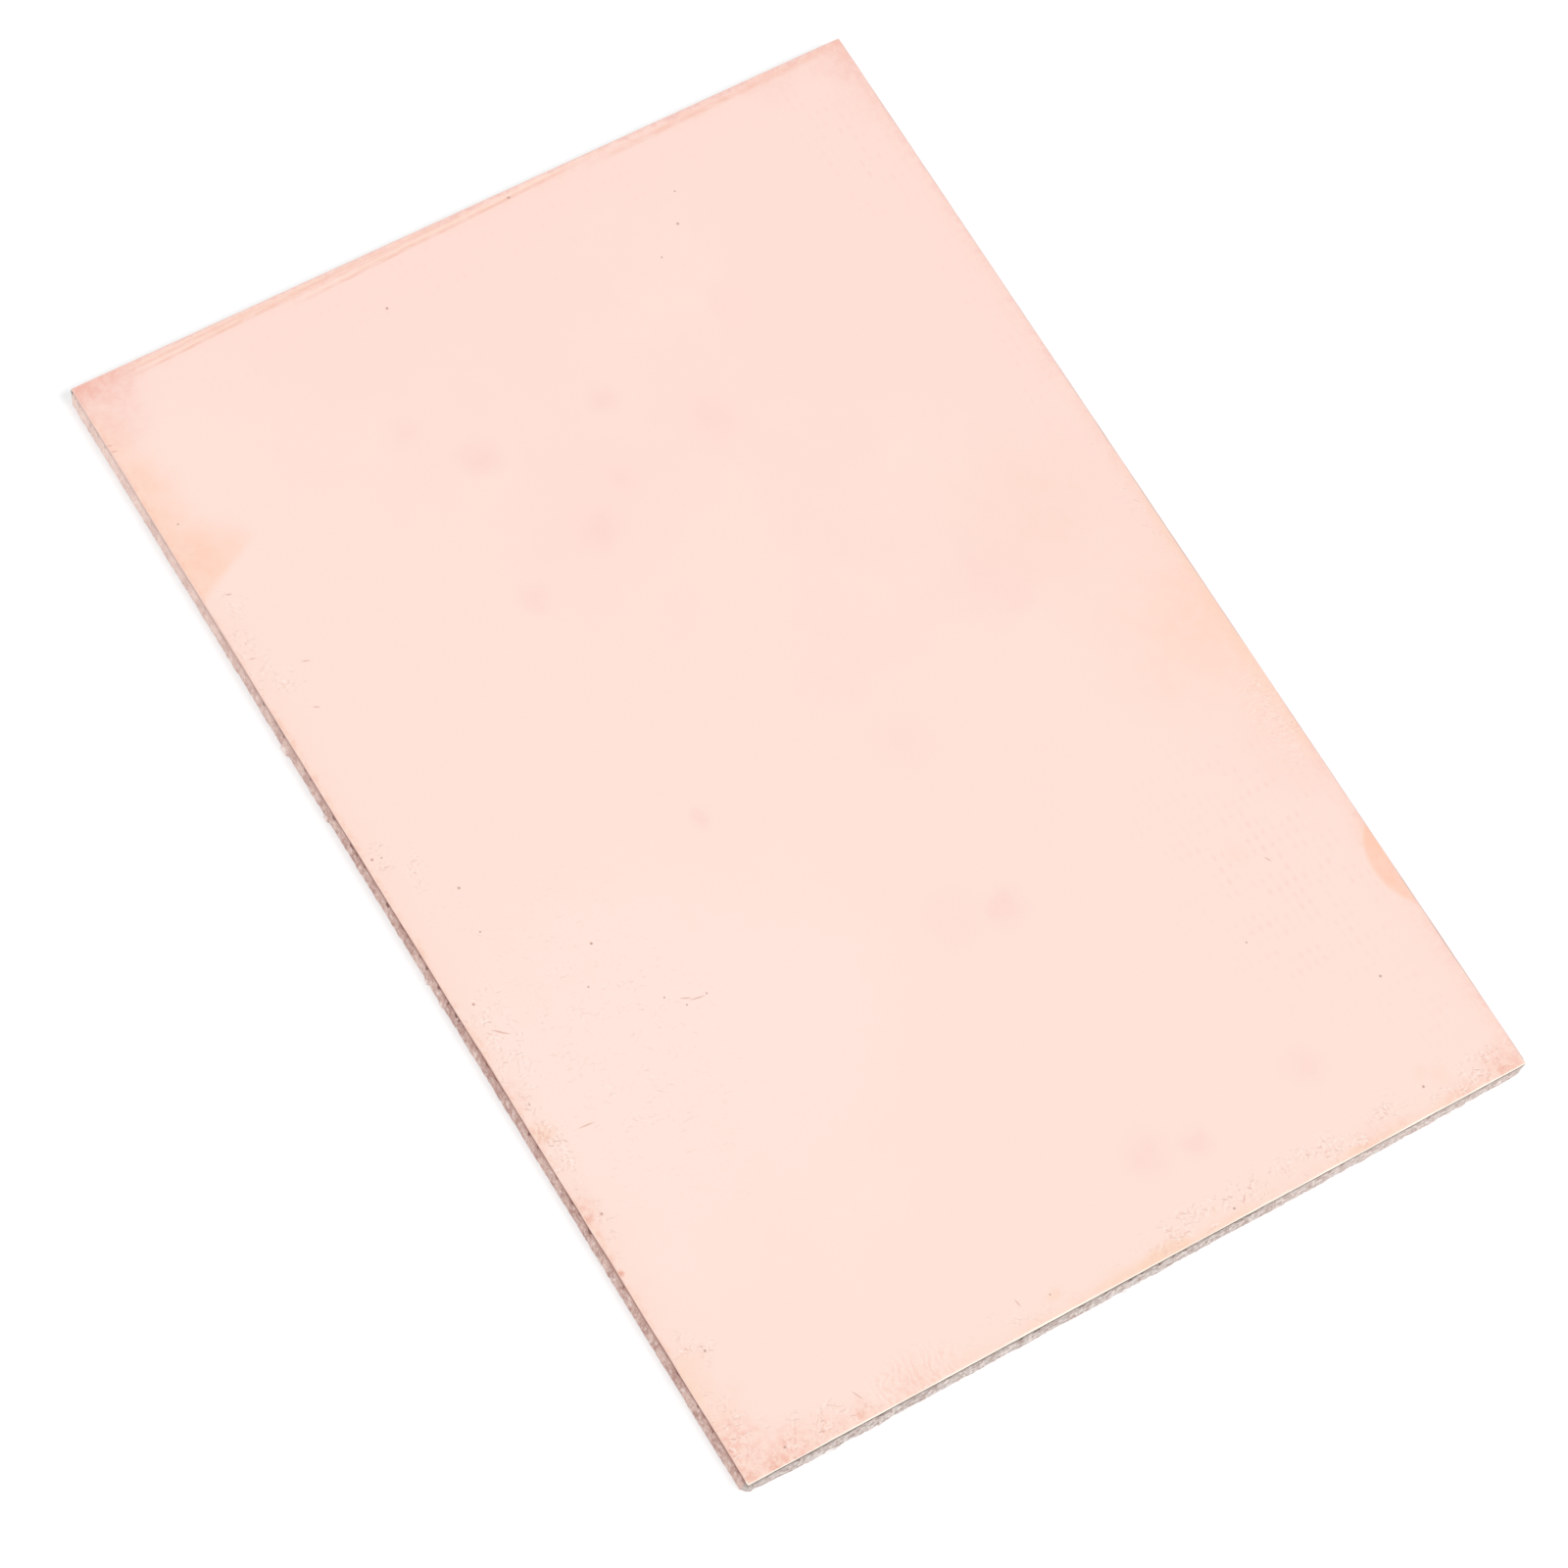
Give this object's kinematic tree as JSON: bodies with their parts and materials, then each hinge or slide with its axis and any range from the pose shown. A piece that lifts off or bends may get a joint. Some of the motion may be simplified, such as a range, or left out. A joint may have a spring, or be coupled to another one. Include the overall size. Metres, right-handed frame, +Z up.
{
  "type": "copper clad board",
  "caption": "Rectangular blank of glass-epoxy laminate with bright copper foil over its upper face, sheared to size with rough pale edges.",
  "frame": {"origin": "below the middle of the copper face, on the plane that the underside rests on", "axes": "+Z up, out of the copper face; X along the longer edges, Y along the shorter ones; -Y is the long edge and +X the short edge that the picture shows nearest"},
  "size_m": [0.1004, 0.0705, 0.0016],
  "materials": {
    "laminate": "satin glass-epoxy laminate, fibrous where it was sheared",
    "copper_foil": "bright rolled copper, lightly tarnished toward the edges"
  },
  "bodies": {
    "root": {"laminate": "laminate", "copper_foil": "copper_foil"}
  },
  "joints": []
}
